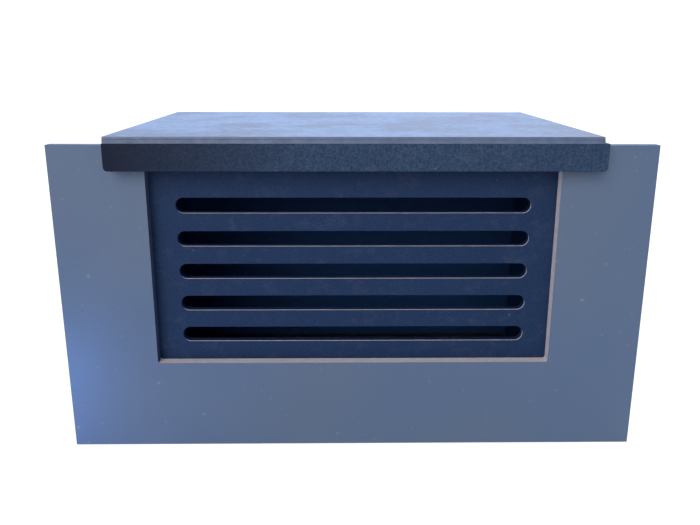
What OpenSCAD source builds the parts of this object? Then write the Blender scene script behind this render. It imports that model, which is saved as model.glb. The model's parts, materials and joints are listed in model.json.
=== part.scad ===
// Book drop box: a board box with an oversize front board, a slotted swing-in
// flap behind the window, a lid hinged at the back and a cam lock in the side.
// Millimetres. +X right, -Y front, +Z up. The origin is on the standing plane,
// under the middle of the lid.

/* [Front board] */
// How far the front board stands out past each side of the box
wing_w = 62; // [50:1:140]
// Height of the front board
face_h = 323; // [290:1:400]
// Thickness of the front board
face_t = 12; // [9:0.5:22]
// Width of the window in the front board
window_w = 411; // [300:1:440]
// Height of the window's lower edge above the board's lower edge
sill_h = 95; // [80:1:125]
// Height of the rail left above the window
top_rail = 24; // [20:0.5:40]
// Radius of the window's corners
window_round = 2.5; // [1:0.1:8]
// Gap under the front board
face_toe = 1.5; // [0.5:0.1:5]

/* [Lid] */
// Thickness of the lid's top sheet
sheet_t = 3; // [2:0.5:6]
// Thickness of the lid's core board
core_t = 6; // [5:0.5:12]
// Height of the front of the lid, from the nosing's foot to the lid's top
nosing_h = 33; // [26:0.5:45]
// Thickness of the nosing strip
nosing_t = 18; // [12:0.5:26]
// Running gap between the nosing and the front board
nosing_gap = 1.5; // [1:0.1:4]
// Depth of the rebate under the core's front edge that holds the nosing
nosing_rebate = 2.5; // [1:0.1:3.5]
// How far the nosing stands out past each end of the lid boards
nosing_over = 3; // [0:0.5:8]
// How far the nosing sits to the right of the lid boards' middle
nosing_shift = 2; // [-3:0.5:3]
// Radius of the nosing's lower corners
nosing_round = 4; // [1:0.5:8]
// How far the lid boards stand out past each side
lid_side_over = 0.5; // [0:0.1:8]
// How far the lid stands out past the back
lid_back_over = 30; // [24:0.5:45]
// Thickness of the pads on the back that stop the open lid
stop_pad_t = 2.6; // [1.5:0.1:6]

/* [Flap] */
// Thickness of the flap
flap_t = 9; // [6:0.5:14]
// How far the flap laps behind each side and the foot of the window
flap_lap = 6; // [5.5:0.1:9]
// Gap between the flap and the front board
flap_gap = 1.5; // [1:0.1:3]
// How far the flap swings in, in degrees
flap_open = 80; // [60:1:82]
// Number of slots
slot_count = 5; // [2:1:6]
// Height of a slot
slot_h = 15.5; // [10:0.5:22]
// Distance from the side of the window to the end of a slot
slot_side = 25.5; // [20:0.5:60]
// Distance from the foot of the window to the lowest slot
slot_foot = 19.75; // [12:0.25:40]
// Distance from the top slot to the top of the window
slot_head = 30.35; // [20:0.05:50]
// Radius of the pivot rod
rod_r = 4; // [3:0.25:4.8]

/* [Box] */
// Thickness of the side, base and back boards
panel_t = 12; // [10:0.5:18]
// Room between the flap and each side board
side_room = 14.5; // [13.5:0.1:24]
// Room between the foot of the flap, swung level, and the back board
flap_room = 25.5; // [15:0.5:160]
// Height of a foot
foot_h = 8; // [5:0.5:14]
// Radius of a foot where it meets the base
foot_r = 16; // [12:0.5:20]
// Thickness of the landing mat
mat_t = 4; // [2.5:0.5:8]

/* [Fittings] */
// Length of a lid hinge
hinge_l = 60; // [45:1:90]
// Radius of the hinge barrel
barrel_r = 4.5; // [3.5:0.1:6]
// Radius of the hinge pin
pin_r = 2; // [1.5:0.1:2.5]
// Thickness of a hinge leaf
leaf_t = 1.5; // [1:0.1:2]
// Leg of a corner bracket
bracket_leg = 40; // [36:1:50]
// Radius of the lock's barrel
lock_r = 9.5; // [8:0.25:11]
// Length of the lock's cam from its axis
cam_l = 30; // [25:1:36]
// Distance of the lock behind the front board
lock_back = 98; // [80:1:160]
// Radius of the bore in a threaded insert
insert_bore = 2.5; // [2:0.05:3.2]
// Distance of the inserts from the top and foot of the front board
insert_edge = 27; // [20:1:40]

/* [Hidden] */
$fn = 64;

// Clearances: a part that stays put in its hole, a part that turns, a pad just short of what lands on it
snug = 0.08;
running = 0.05;
pad_gap = 0.3;
past = 1; // how far a cutter runs past the face it cuts

// Heights
face_top = face_toe + face_h;
window_h = face_h - sill_h - top_rail;
window_low = face_toe + sill_h;
window_top = face_top - top_rail;
lid_rest_gap = 1;
lid_under = face_top + lid_rest_gap;
lid_top = lid_under + core_t + sheet_t;
nosing_top = lid_under + nosing_rebate;
base_top = foot_h + panel_t;
// The flap turns on a rod a little behind its back face, level with its top edge
socket_h = 27;
rod_z = face_top - socket_h / 2;
eye_r = 9;
flap_top = rod_z - 0.5;
flap_low = window_low - flap_lap - 1;
// Depths, front to back
box_d = flap_gap + flap_t + eye_r + rod_z - flap_low + flap_room;
lid_d = nosing_t + nosing_gap + face_t + box_d + panel_t + lid_back_over;
lid_front = -lid_d / 2;
lid_back = lid_d / 2;
nosing_back = lid_front + nosing_t;
face_front = nosing_back + nosing_gap;
face_back = face_front + face_t;
back_outer = lid_back - lid_back_over;
back_inner = back_outer - panel_t;
flap_front = face_back + flap_gap;
flap_back = flap_front + flap_t;
// Widths
flap_w = window_w + 2 * flap_lap;
inner_w = flap_w + 2 * side_room;
body_w = inner_w + 2 * panel_t;
lid_w = body_w + 2 * lid_side_over;
nosing_w = lid_w + 2 * nosing_over;
face_w = body_w + 2 * wing_w;

// The flap's slots and its pivot
slot_l = window_w - 2 * slot_side;
slot_pitch = (window_h - slot_foot - slot_head - slot_h) / (slot_count - 1);
rod_y = flap_back + eye_r;
socket_t = side_room - 2.5;
socket_l = 44;
rod_seat = 2; // wall left between the rod's end and the side board
stop_reach = 5.5; // how far a stop pin reaches over the flap's edge
arm_x = slot_l / 2 + 2; // inner face of an arm's ear
arm_t = 2.5;
arm_flange_t = 2;
arm_flange_w = flap_w / 2 - stop_reach - 1.5 - arm_x;
arm_drop = 60;
bush_r = rod_r + 1.5;
bush_flange_r = bush_r + 2;
bush_flange_t = 1.2;
collar_r = rod_r + 4;
collar_w = 8;
// The stop pin meets the flap's back face this far down from the rod
stop_r = 3;
stop_down = 20;
stop_y = rod_y + (-eye_r + stop_r + pad_gap) * cos(flap_open) + stop_down * sin(flap_open);
stop_z = rod_z + (-eye_r + stop_r + pad_gap) * sin(flap_open) - stop_down * cos(flap_open);
buffer_w = 4.2;

// The lid's hinge barrel sits in the corner between the back board and the lid
hinge_off = barrel_r + 0.3;
hinge_y = back_outer + hinge_off;
hinge_z = lid_under - hinge_off;
hinge_x = body_w / 2 - 75;
knuckles = 5;
knuckle_gap = 0.15;
leaf_reach = lid_back_over - hinge_off - 3.2;
hinge_screw_at = leaf_reach - 8;
// The lid opens until its rear corner lands on the stop pads
lid_tail = lid_back_over - hinge_off;
lid_open = atan2(hinge_off, lid_tail)
    + acos((stop_pad_t + pad_gap - hinge_off) / sqrt(hinge_off * hinge_off + lid_tail * lid_tail));
stop_pad_z = hinge_z - lid_tail * sin(lid_open) + hinge_off * cos(lid_open) + 3;
pad_r = 4;

// Lock in the right side: the cam points up when open, and forwards over the keeper's foot when locked
lock_y = face_back + lock_back;
lock_z = lid_under - cam_l - 10;
cam_w = 14;
cam_t = 2;
plug_r = lock_r - 3.7;
nut_t = 4;
nut_af = 2 * (lock_r + 2.5);
lock_flange_r = lock_r + 3;
lock_flange_t = 2.5;
lock_tail = 5.5; // how far the housing stands inside the side board
cam_in = inner_w / 2 - lock_tail - pad_gap; // face of the cam nearest the side board
keeper_t = 2;
keeper_w = 10.5;
keeper_x = inner_w / 2 - 2 - keeper_w / 2;
keeper_y = lock_y - cam_l - 7;
keeper_foot_z = lock_z - cam_w / 2 - 1;
keeper_foot_l = 17;
keeper_plate_l = 34;

// Screws: shank radius, head radius
wood_screw = [2.2, 4.2];
small_screw = [1.6, 3.2];
foot_x = body_w / 2 - 32;
foot_front_y = face_back + 34;
foot_rear_y = back_outer - 34;
foot_screw_z = 0.45 * foot_h;
carcass_l = 38;
small_l = 10;
lid_screw_l = core_t + 1;
foot_screw_l = foot_h - foot_screw_z + panel_t - 3;
wing_bracket_z = [base_top + 35, face_top - 70];
wing_bracket_w = 18;
bracket_t = 2;
bracket_holes = [15, 31];
base_bracket_x = inner_w / 2 - 64;
insert_l = min(9, face_t - 2.5);
insert_r = insert_bore + 1.5;
insert_x = face_w / 2 - 30;
insert_z = [face_toe + insert_edge, face_top - insert_edge];

// Screw centres, each [position, way the head faces, side it belongs to]
function side_screws(s) = [
    for (i = [0:2]) [s * body_w / 2, face_back + 40 + i * (back_inner - face_back - 80) / 2, foot_h + panel_t / 2],
    for (i = [0:2]) [s * body_w / 2, back_inner + panel_t / 2, base_top + 40 + i * (face_top - base_top - 90) / 2]];
function socket_screw_points(s) = [
    [s * (inner_w / 2 - socket_t), rod_y - 11, rod_z - 8],
    [s * (inner_w / 2 - socket_t), rod_y + 12, rod_z + 6]];
function hinge_screw_x(s) = [for (i = [-1:1]) s * hinge_x + i * hinge_l / 3];
function foot_points() = [[-foot_x, foot_front_y], [foot_x, foot_front_y], [-foot_x, foot_rear_y], [foot_x, foot_rear_y]];
function flap_screw_points(s) = [for (d = [24, 50]) [s * (arm_x + arm_t + (arm_flange_w - arm_t) / 2), flap_back + arm_flange_t, rod_z - d]];
function keeper_screw_y() = [keeper_y + 10, keeper_y + 26];

// Puts a shape at p with its own +Z along d and its own +X along e
module place(p, d, e) {
    f = cross(d, e);
    multmatrix([[e.x, f.x, d.x, p.x], [e.y, f.y, d.y, p.y], [e.z, f.z, d.z, p.z], [0, 0, 0, 1]]) children();
}

module facing(p, d) {
    place(p, d, abs(d.z) > 0.5 ? [1, 0, 0] : [0, 0, 1]) children();
}

// Countersunk cross-head screw: the head's flat is at 0 and the point runs down
module screw(size, length) {
    r = size[0];
    head = size[1];
    tip = 1.2 * r;
    difference() {
        union() {
            translate([0, 0, -length + tip]) cylinder(r = r, h = length - tip);
            translate([0, 0, -length]) cylinder(r1 = 0.3, r2 = r, h = tip);
            translate([0, 0, r - head]) cylinder(r1 = r, r2 = head, h = head - r);
        }
        for (a = [0, 90]) rotate(a) translate([-0.6 * head, -0.12 * head, -0.4 * head])
            cube([1.2 * head, 0.24 * head, head]);
    }
}

module screw_hole(size, length) {
    r = size[0] + snug;
    head = size[1] + snug;
    translate([0, 0, -length - snug]) cylinder(r = r, h = length + snug + past);
    translate([0, 0, r - head]) cylinder(r1 = r, r2 = head, h = head - r);
    cylinder(r = head, h = past);
}

// A rectangle that stands on y = 0 with its two lower corners rounded
module rounded_foot(w, h, r) {
    translate([-w / 2, r]) square([w, h - r]);
    translate([-w / 2 + r, 0]) square([w - 2 * r, h - r]);
    for (s = [-1, 1]) translate([s * (w / 2 - r), r]) circle(r);
}

// A rectangle with four round corners, centred
module rounded_plate(w, h, r) {
    square([w - 2 * r, h], center = true);
    square([w, h - 2 * r], center = true);
    for (sx = [-1, 1], sy = [-1, 1]) translate([sx * (w / 2 - r), sy * (h / 2 - r)]) circle(r);
}

// L bracket: one leg along +X on z = 0, the other up +Z on x = 0
module bracket_shape(w) {
    translate([0, -w / 2, 0]) cube([bracket_leg, w, bracket_t]);
    translate([0, -w / 2, 0]) cube([bracket_t, w, bracket_leg]);
}

module bracket_fixings(w) {
    for (a = bracket_holes) {
        facing([a, 0, bracket_t], [0, 0, 1]) children();
        facing([bracket_t, 0, a], [1, 0, 0]) children();
    }
}

module bracket(w) {
    difference() {
        bracket_shape(w);
        bracket_fixings(w) screw_hole(small_screw, small_l);
    }
}

module at_wing_bracket(s, z) {
    place([s * body_w / 2, face_back, z], [s, 0, 0], [0, 1, 0]) children();
}

module at_base_bracket(s) {
    place([s * base_bracket_x, face_back, base_top], [0, 0, 1], [0, 1, 0]) children();
}

module every_bracket_fixing() {
    for (s = [-1, 1]) {
        for (z = wing_bracket_z) at_wing_bracket(s, z) bracket_fixings(wing_bracket_w) children();
        at_base_bracket(s) bracket_fixings(wing_bracket_w) children();
    }
}

// ---- the box ----

module front_board() {
    color("#5f7090") difference() {
        translate([-face_w / 2, face_front, face_toe]) cube([face_w, face_t, face_h]);
        translate([0, face_front + face_t / 2, (window_low + window_top) / 2]) rotate([90, 0, 0])
            linear_extrude(face_t + 2 * past, center = true) rounded_plate(window_w, window_h, window_round);
        for (s = [-1, 1], z = insert_z) facing([s * insert_x, face_back, z], [0, 1, 0])
            translate([0, 0, -insert_l - 0.5]) cylinder(r = insert_r, h = insert_l + 0.5 + past);
        every_bracket_fixing() screw_hole(small_screw, small_l);
    }
}

module side_board(s) {
    difference() {
        translate([s > 0 ? inner_w / 2 : -body_w / 2, face_back, foot_h])
            cube([panel_t, back_outer - face_back, face_top - foot_h]);
        for (p = side_screws(s)) facing(p, [s, 0, 0]) screw_hole(wood_screw, carcass_l);
        for (p = socket_screw_points(s)) facing(p, [-s, 0, 0]) screw_hole(small_screw, socket_t + small_l - 2);
        every_bracket_fixing() screw_hole(small_screw, small_l);
        if (s > 0) translate([inner_w / 2 - past, lock_y, lock_z]) rotate([0, 90, 0])
            cylinder(r = lock_r + snug, h = panel_t + 2 * past);
    }
}

module side_left() { color("#232f4c") side_board(-1); }
module side_right() { color("#232f4c") side_board(1); }

module base_board() {
    color("#232f4c") difference() {
        translate([-inner_w / 2, face_back, foot_h]) cube([inner_w, back_inner - face_back, panel_t]);
        for (s = [-1, 1], p = side_screws(s)) facing(p, [s, 0, 0]) screw_hole(wood_screw, carcass_l);
        every_bracket_fixing() screw_hole(small_screw, small_l);
        for (p = foot_points()) facing([p.x, p.y, foot_screw_z], [0, 0, -1]) screw_hole(wood_screw, foot_screw_l);
    }
}

module back_board() {
    color("#232f4c") difference() {
        translate([-inner_w / 2, back_inner, foot_h]) cube([inner_w, panel_t, face_top - foot_h]);
        for (s = [-1, 1], p = side_screws(s)) facing(p, [s, 0, 0]) screw_hole(wood_screw, carcass_l);
        for (s = [-1, 1], x = hinge_screw_x(s)) facing([x, back_outer + leaf_t, hinge_z - hinge_screw_at], [0, 1, 0])
            screw_hole(small_screw, small_l);
    }
}

module carcass_screws() {
    color("silver") for (s = [-1, 1], p = side_screws(s)) facing(p, [s, 0, 0]) screw(wood_screw, carcass_l);
}

module wing_bracket(s, i) {
    color("gainsboro") at_wing_bracket(s, wing_bracket_z[i]) bracket(wing_bracket_w);
}

module base_bracket(s) {
    color("gainsboro") at_base_bracket(s) bracket(wing_bracket_w);
}

module bracket_screws() {
    color("silver") every_bracket_fixing() screw(small_screw, small_l);
}

module foot(i) {
    p = foot_points()[i];
    color("#1b1b1d") translate([p.x, p.y, 0]) difference() {
        cylinder(r1 = foot_r - 2, r2 = foot_r, h = foot_h);
        translate([0, 0, -past]) cylinder(r = wood_screw[0] + snug, h = foot_h + 2 * past);
        translate([0, 0, -past]) cylinder(r = wood_screw[1] + 1, h = foot_screw_z + past);
        translate([0, 0, foot_screw_z]) cylinder(
            r1 = wood_screw[1] + snug, r2 = wood_screw[0] + snug, h = wood_screw[1] - wood_screw[0]);
    }
}

module foot_screws() {
    color("silver") for (p = foot_points()) facing([p.x, p.y, foot_screw_z], [0, 0, -1])
        screw(wood_screw, foot_screw_l);
}

module threaded_inserts() {
    color("goldenrod") for (s = [-1, 1], z = insert_z) facing([s * insert_x, face_back, z], [0, 1, 0])
        translate([0, 0, -insert_l]) difference() {
            cylinder(r = insert_r - snug, h = insert_l);
            translate([0, 0, -past]) cylinder(r = insert_bore, h = insert_l + 2 * past);
        }
}

module landing_mat() {
    rib = 8;
    groove = 3;
    front = face_back + bracket_leg + 4;
    depth = back_inner - 2 - front;
    color("#242426") translate([0, front, base_top]) difference() {
        translate([-inner_w / 2 + 2, 0, 0]) cube([inner_w - 4, depth, mat_t]);
        for (i = [1:floor(depth / rib) - 1]) translate([-inner_w / 2 + 8, i * rib, mat_t - 1.2])
            cube([inner_w - 16, groove, 1.2 + past]);
    }
}

// ---- the flap's pivot, on the box ----

module rod_socket(s) {
    color("#2b2d31") difference() {
        translate([s * (inner_w / 2 - socket_t / 2), rod_y + 3, rod_z - 1.5]) rotate([90, 0, 90])
            linear_extrude(socket_t, center = true) rounded_plate(socket_l, socket_h - 3, 4);
        for (p = [[rod_y, rod_z, rod_r], [stop_y, stop_z, stop_r]])
            translate([s * (inner_w / 2 - rod_seat - socket_t / 2), p[0], p[1]]) rotate([0, 90, 0])
                cylinder(r = p[2], h = socket_t, center = true);
        for (p = socket_screw_points(s)) facing(p, [-s, 0, 0]) screw_hole(small_screw, socket_t + small_l - 2);
    }
}

module socket_screws() {
    color("silver") for (s = [-1, 1], p = socket_screw_points(s)) facing(p, [-s, 0, 0])
        screw(small_screw, socket_t + small_l - 2);
}

module flap_rod() {
    half = inner_w / 2 - rod_seat;
    color("lightgray") translate([0, rod_y, rod_z]) rotate([0, 90, 0]) union() {
        cylinder(r = rod_r, h = 2 * half - 2, center = true);
        for (s = [0, 1]) mirror([0, 0, s]) translate([0, 0, half - 1]) cylinder(r1 = rod_r, r2 = rod_r - 1, h = 1);
    }
}

module rod_collar(s) {
    color("gray") translate([s * (arm_x - bush_flange_t - 0.2 - collar_w / 2), rod_y, rod_z])
        rotate([0, 90, 0]) difference() {
            cylinder(r = collar_r, h = collar_w, center = true);
            cylinder(r = rod_r, h = collar_w + 2 * past, center = true);
            rotate([0, 90, 0]) cylinder(r = 1.25, h = collar_r + past);
        }
}

module stop_pin(s) {
    color("lightgray") translate([s * (inner_w / 2 - rod_seat), stop_y, stop_z]) rotate([0, -90 * s, 0])
        cylinder(r = stop_r, h = inner_w / 2 - rod_seat - flap_w / 2 + stop_reach);
}

// One rubber strip round the sides and foot of the window, on the back of the front board
module flap_buffer() {
    thick = flap_gap - pad_gap;
    edge = 0.7;
    out_w = window_w / 2 + edge + buffer_w;
    low = window_low - edge - buffer_w;
    top = rod_z - 30;
    color("#1b1b1d") translate([0, face_back, 0]) {
        for (s = [-1, 1]) translate([s > 0 ? window_w / 2 + edge : -out_w, 0, low])
            cube([buffer_w, thick, top - low]);
        translate([-out_w, 0, low]) cube([2 * out_w, thick, buffer_w]);
    }
}

module lid_rest_pads() {
    color("#1b1b1d") for (s = [-1, 1], y = [face_back + 18, back_outer - 18])
        translate([s * (inner_w + panel_t) / 2, y, face_top]) cylinder(r = pad_r, h = lid_rest_gap - pad_gap);
}

module lid_stop_pads() {
    color("#1b1b1d") for (s = [-1, 1]) facing([s * (hinge_x - hinge_l / 2 - 24), back_outer, stop_pad_z], [0, 1, 0])
        cylinder(r1 = 6, r2 = 5, h = stop_pad_t);
}

// ---- the lid's hinges ----

function knuckle_x(i) = -hinge_l / 2 + i * hinge_l / knuckles + (i > 0 ? knuckle_gap : 0);
function knuckle_w(i) = hinge_l / knuckles - (i > 0 ? knuckle_gap : 0) - (i < knuckles - 1 ? knuckle_gap : 0);

// A leaf hangs down -Z from the barrel on its own y = -hinge_off plane; odd picks its knuckles
module hinge_leaf(odd, bore, reach) {
    root = barrel_r + 0.4;
    difference() {
        union() {
            translate([-hinge_l / 2, -hinge_off, -reach]) cube([hinge_l, leaf_t, reach - root]);
            for (i = [odd:2:knuckles - 1]) translate([knuckle_x(i), 0, 0]) {
                translate([0, -hinge_off, -root]) cube([knuckle_w(i), leaf_t, root]);
                rotate([0, 90, 0]) cylinder(r = barrel_r, h = knuckle_w(i));
            }
        }
        translate([-hinge_l / 2 - past, 0, 0]) rotate([0, 90, 0]) cylinder(r = bore, h = hinge_l + 2 * past);
        for (i = [-1:1]) facing([i * hinge_l / 3, leaf_t - hinge_off, -hinge_screw_at], [0, 1, 0])
            screw_hole(small_screw, small_l);
    }
}

module hinge_fixed_leaf(s) {
    color("gainsboro") translate([s * hinge_x, hinge_y, hinge_z]) hinge_leaf(0, pin_r, leaf_reach + 4);
}

module hinge_lid_leaf(s) {
    color("gainsboro") translate([s * hinge_x, hinge_y, hinge_z]) mirror([0, 1, 1])
        hinge_leaf(1, pin_r + running, leaf_reach);
}

module hinge_pin(s) {
    half = hinge_l / 2;
    color("lightgray") translate([s * hinge_x, hinge_y, hinge_z]) rotate([0, 90, 0]) {
        cylinder(r = pin_r, h = 2 * half, center = true);
        for (a = [0, 1]) mirror([0, 0, a]) translate([0, 0, half]) cylinder(r1 = pin_r + 1, r2 = pin_r, h = 1);
    }
}

module hinge_fixed_screws() {
    color("silver") for (s = [-1, 1], x = hinge_screw_x(s))
        facing([x, back_outer + leaf_t, hinge_z - hinge_screw_at], [0, 1, 0]) screw(small_screw, small_l);
}

module lid_hinge_fixings() {
    for (s = [-1, 1], x = hinge_screw_x(s)) facing([x, hinge_y + hinge_screw_at, lid_under - leaf_t], [0, 0, -1])
        children();
}

module hinge_lid_screws() {
    color("silver") lid_hinge_fixings() screw(small_screw, lid_screw_l);
}

// ---- the lid ----

module keeper_fixings() {
    for (y = keeper_screw_y()) facing([keeper_x, y, lid_under - keeper_t], [0, 0, -1]) children();
}

module lid_top_sheet() {
    color("#6a7c99") translate([-lid_w / 2, lid_front, lid_top - sheet_t]) cube([lid_w, lid_d, sheet_t]);
}

module lid_core() {
    color("#5f708c") difference() {
        translate([-lid_w / 2, lid_front, lid_under]) cube([lid_w, lid_d, core_t]);
        translate([-lid_w, lid_front - past, lid_under - past]) cube([2 * lid_w, nosing_t + past, nosing_rebate + past]);
        lid_hinge_fixings() screw_hole(small_screw, lid_screw_l);
        keeper_fixings() screw_hole(small_screw, lid_screw_l);
    }
}

module lid_nosing() {
    foot = lid_top - nosing_h;
    color("#26334f") translate([nosing_shift, nosing_back, foot]) rotate([90, 0, 0])
        linear_extrude(nosing_t) rounded_foot(nosing_w, nosing_top - foot, nosing_round);
}

module lock_keeper() {
    leg_h = lid_under - keeper_foot_z;
    color("gainsboro") difference() {
        translate([keeper_x - keeper_w / 2, keeper_y, 0]) union() {
            translate([0, 0, lid_under - keeper_t]) cube([keeper_w, keeper_plate_l, keeper_t]);
            translate([0, 0, keeper_foot_z - keeper_t]) cube([keeper_w, keeper_t, leg_h + keeper_t]);
            translate([0, 0, keeper_foot_z - keeper_t]) cube([keeper_w, keeper_foot_l, keeper_t]);
        }
        keeper_fixings() screw_hole(small_screw, lid_screw_l);
    }
}

module keeper_screws() {
    color("silver") keeper_fixings() screw(small_screw, lid_screw_l);
}

// ---- the flap ----

module flap_fixings(s) {
    for (p = flap_screw_points(s)) facing(p, [0, 1, 0]) children();
}

module flap_panel() {
    low_slot = window_low + slot_foot + slot_h / 2;
    color("#1f2b4a") difference() {
        translate([-flap_w / 2, flap_front, flap_low]) cube([flap_w, flap_t, flap_top - flap_low]);
        for (i = [0:slot_count - 1]) translate([0, flap_front - past, low_slot + i * slot_pitch])
            rotate([-90, 0, 0]) linear_extrude(flap_t + 2 * past) {
                square([slot_l - slot_h, slot_h], center = true);
                for (s = [-1, 1]) translate([s * (slot_l - slot_h) / 2, 0]) circle(slot_h / 2);
            }
        for (s = [-1, 1]) flap_fixings(s) screw_hole(small_screw, arm_flange_t + flap_t - 2);
    }
}

module flap_arm(s) {
    ear_x = s > 0 ? arm_x : -arm_x - arm_t;
    flange_x = s > 0 ? arm_x : -arm_x - arm_flange_w;
    color("gainsboro") difference() {
        union() {
            translate([flange_x, flap_back, rod_z - arm_drop]) cube([arm_flange_w, arm_flange_t, arm_drop - 1]);
            translate([ear_x, rod_y, rod_z]) rotate([90, 0, 90]) linear_extrude(arm_t) {
                circle(eye_r);
                polygon([[-eye_r, 0], [eye_r, 0], [eye_r - 2, -10], [-eye_r + 4, -arm_drop], [-eye_r, -arm_drop]]);
            }
        }
        translate([ear_x - past, rod_y, rod_z]) rotate([0, 90, 0]) cylinder(r = bush_r, h = arm_t + 2 * past);
        flap_fixings(s) screw_hole(small_screw, arm_flange_t + flap_t - 2);
    }
}

module flap_bush(s) {
    color("ivory") translate([s * (arm_x - bush_flange_t), rod_y, rod_z]) rotate([0, 90 * s, 0]) difference() {
        union() {
            cylinder(r = bush_flange_r, h = bush_flange_t);
            cylinder(r = bush_r, h = bush_flange_t + arm_t);
        }
        translate([0, 0, -past]) cylinder(r = rod_r + running, h = arm_t + bush_flange_t + 2 * past);
    }
}

module flap_screws() {
    color("silver") for (s = [-1, 1]) flap_fixings(s) screw(small_screw, arm_flange_t + flap_t - 2);
}

// ---- the lock ----

module along_lock(x) {
    translate([x, lock_y, lock_z]) rotate([0, 90, 0]) children();
}

module lock_housing() {
    color("lightgray") along_lock(inner_w / 2 - lock_tail) difference() {
        union() {
            cylinder(r = lock_r, h = lock_tail + panel_t);
            translate([0, 0, lock_tail + panel_t]) cylinder(r1 = lock_flange_r, r2 = lock_flange_r - 1, h = lock_flange_t);
        }
        translate([0, 0, -past]) cylinder(r = plug_r + running, h = panel_t + lock_tail + lock_flange_t + 2 * past);
    }
}

module lock_nut() {
    color("silver") along_lock(inner_w / 2 - nut_t) difference() {
        cylinder(r = nut_af / 2 / cos(30), h = nut_t, $fn = 6);
        translate([0, 0, -past]) cylinder(r = lock_r + snug, h = nut_t + 2 * past);
    }
}

module lock_plug() {
    tail = 6;
    color("silver") along_lock(cam_in - cam_t) difference() {
        union() {
            translate([-tail / 2, -tail / 2, 0]) cube([tail, tail, cam_t + pad_gap]);
            translate([0, 0, cam_t + pad_gap]) cylinder(r = plug_r, h = lock_tail + panel_t + lock_flange_t - 0.4);
        }
        translate([-0.6, -3.6, cam_t + lock_tail + panel_t + lock_flange_t - 10]) cube([1.2, 7.2, 12]);
        translate([0, 0, -past]) cylinder(r = 1.6, h = 8 + past);
    }
}

module lock_cam() {
    hole = 6.1;
    color("gainsboro") along_lock(cam_in - cam_t) rotate([0, 0, 180]) difference() {
        linear_extrude(cam_t) {
            circle(cam_w / 2);
            translate([0, -cam_w / 2]) square([cam_l - cam_w / 2, cam_w]);
            translate([cam_l - cam_w / 2, 0]) circle(cam_w / 2);
        }
        translate([-hole / 2, -hole / 2, -past]) cube([hole, hole, cam_t + 2 * past]);
    }
}

module cam_screw() {
    color("silver") along_lock(cam_in - cam_t) difference() {
        union() {
            translate([0, 0, -2.2]) cylinder(r1 = 3.6, r2 = 4.6, h = 2.2);
            cylinder(r = 1.6 - snug, h = 7);
        }
        for (a = [0, 90]) rotate(a) translate([-2.4, -0.5, -3]) cube([4.8, 1, 2]);
    }
}

front_board();
side_left();
side_right();
base_board();
back_board();
carcass_screws();
wing_bracket(-1, 1);  // wing_bracket_left_upper
wing_bracket(-1, 0);  // wing_bracket_left_lower
wing_bracket(1, 1);  // wing_bracket_right_upper
wing_bracket(1, 0);  // wing_bracket_right_lower
base_bracket(-1);  // base_bracket_left
base_bracket(1);  // base_bracket_right
bracket_screws();
foot(0);  // foot_front_left
foot(1);  // foot_front_right
foot(2);  // foot_rear_left
foot(3);  // foot_rear_right
foot_screws();
threaded_inserts();
landing_mat();
rod_socket(-1);  // rod_socket_left
rod_socket(1);  // rod_socket_right
socket_screws();
flap_rod();
rod_collar(-1);  // rod_collar_left
rod_collar(1);  // rod_collar_right
stop_pin(-1);  // stop_pin_left
stop_pin(1);  // stop_pin_right
flap_buffer();
lid_rest_pads();
lid_stop_pads();
hinge_fixed_leaf(-1);  // hinge_left_fixed_leaf
hinge_fixed_leaf(1);  // hinge_right_fixed_leaf
hinge_pin(-1);  // hinge_left_pin
hinge_pin(1);  // hinge_right_pin
hinge_fixed_screws();
lock_housing();
lock_nut();
lid_top_sheet();
lid_core();
lid_nosing();
hinge_lid_leaf(-1);  // hinge_left_lid_leaf
hinge_lid_leaf(1);  // hinge_right_lid_leaf
hinge_lid_screws();
lock_keeper();
keeper_screws();
flap_panel();
flap_arm(-1);  // flap_arm_left
flap_arm(1);  // flap_arm_right
flap_bush(-1);  // flap_bush_left
flap_bush(1);  // flap_bush_right
flap_screws();
lock_plug();
lock_cam();
cam_screw();
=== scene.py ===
# %% [markdown]
# # A book drop box, piece by piece
# The boxes, hinges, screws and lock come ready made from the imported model, which is
# loaded here as a fixed frame. This lesson adds what that frame lacks: boards with
# eased edges, a routed flap, a ribbed mat, moulded feet, and a finish for each part.

# %% Load the frame and measure it
import json
import math

import bpy
import bmesh
from mathutils import Matrix, Vector


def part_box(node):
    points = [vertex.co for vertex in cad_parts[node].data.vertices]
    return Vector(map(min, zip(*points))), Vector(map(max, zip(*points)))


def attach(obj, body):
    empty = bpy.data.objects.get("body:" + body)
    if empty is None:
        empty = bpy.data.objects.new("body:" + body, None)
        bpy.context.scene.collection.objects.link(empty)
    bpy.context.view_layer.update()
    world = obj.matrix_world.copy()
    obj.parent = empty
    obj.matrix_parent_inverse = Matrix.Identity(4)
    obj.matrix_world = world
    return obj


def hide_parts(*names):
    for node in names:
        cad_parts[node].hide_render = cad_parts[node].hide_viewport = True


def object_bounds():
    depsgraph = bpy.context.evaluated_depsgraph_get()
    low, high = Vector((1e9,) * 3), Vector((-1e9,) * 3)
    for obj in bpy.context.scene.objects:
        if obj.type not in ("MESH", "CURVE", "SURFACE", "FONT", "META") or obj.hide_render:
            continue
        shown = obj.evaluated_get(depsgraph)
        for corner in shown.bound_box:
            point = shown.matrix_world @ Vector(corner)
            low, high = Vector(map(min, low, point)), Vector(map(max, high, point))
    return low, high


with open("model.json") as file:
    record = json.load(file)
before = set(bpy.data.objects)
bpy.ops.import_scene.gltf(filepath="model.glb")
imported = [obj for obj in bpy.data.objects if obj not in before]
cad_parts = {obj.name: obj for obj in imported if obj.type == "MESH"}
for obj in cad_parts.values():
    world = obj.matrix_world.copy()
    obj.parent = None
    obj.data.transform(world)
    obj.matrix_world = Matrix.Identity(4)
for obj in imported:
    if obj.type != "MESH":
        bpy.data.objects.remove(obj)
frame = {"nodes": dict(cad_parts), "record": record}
cad_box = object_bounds()
print("the packed model is", [round(b - a, 4) for a, b in zip(*cad_box)], "m over all")

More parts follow.
